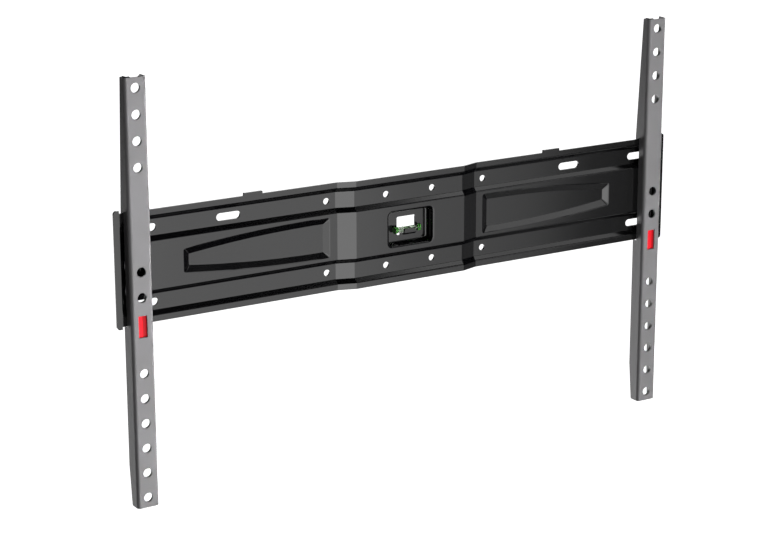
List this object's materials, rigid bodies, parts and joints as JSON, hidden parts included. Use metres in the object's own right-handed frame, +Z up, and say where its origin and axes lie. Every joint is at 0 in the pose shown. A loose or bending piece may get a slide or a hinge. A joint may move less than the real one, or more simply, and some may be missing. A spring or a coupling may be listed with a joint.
{
  "type": "fixed television wall bracket",
  "caption": "Pressed steel wall plate with raised centre and spirit level, with sliding channel arms that hook over it and lock with red spring latches.",
  "frame": {"origin": "middle of the wall plate's back, on the wall", "axes": "+X along the plate to the viewer's right, -Y out from the wall towards the viewer, +Z up"},
  "size_m": [0.643, 0.0172, 0.4216],
  "materials": {
    "plate_paint": "satin black powder coat",
    "arm_paint": "satin grey powder coat",
    "stiffener_paint": "satin black powder coat",
    "latch_red": "moulded red plastic",
    "guide_black": "moulded black plastic",
    "spring_steel": "bright spring wire",
    "level_clear": "clear tube",
    "level_fluid": "pale green liquid",
    "level_green": "moulded green plastic"
  },
  "bodies": {
    "bracket": {"wall_plate": "plate_paint", "level_tube": "level_clear", "level_liquid": "level_fluid", "level_left_cap": "level_green", "level_right_cap": "level_green"},
    "left_hanger": {"left_arm": "arm_paint", "left_arm_stiffener": "stiffener_paint", "left_latch_guide": "guide_black", "left_latch_spring": "spring_steel"},
    "left_catch": {"left_latch": "latch_red"},
    "right_hanger": {"right_arm": "arm_paint", "right_arm_stiffener": "stiffener_paint", "right_latch_guide": "guide_black", "right_latch_spring": "spring_steel"},
    "right_catch": {"right_latch": "latch_red"}
  },
  "joints": [
    {"name": "left_arm_slide", "type": "slide", "parent": "bracket", "child": "left_hanger", "axis": [1, 0, 0], "range_m": [-0.0042, 0.1035]},
    {"name": "left_latch_slide", "type": "slide", "parent": "left_hanger", "child": "left_catch", "axis": [0, 0, 1], "range_m": [-0.006, 0], "stiffness_N_per_m": 300, "springref_m": 0.005, "deforming": ["left_latch_spring"]},
    {"name": "right_arm_slide", "type": "slide", "parent": "bracket", "child": "right_hanger", "axis": [1, 0, 0], "range_m": [-0.1035, 0.0042]},
    {"name": "right_latch_slide", "type": "slide", "parent": "right_hanger", "child": "right_catch", "axis": [0, 0, 1], "range_m": [-0.006, 0], "stiffness_N_per_m": 300, "springref_m": 0.005, "deforming": ["right_latch_spring"]}
  ]
}
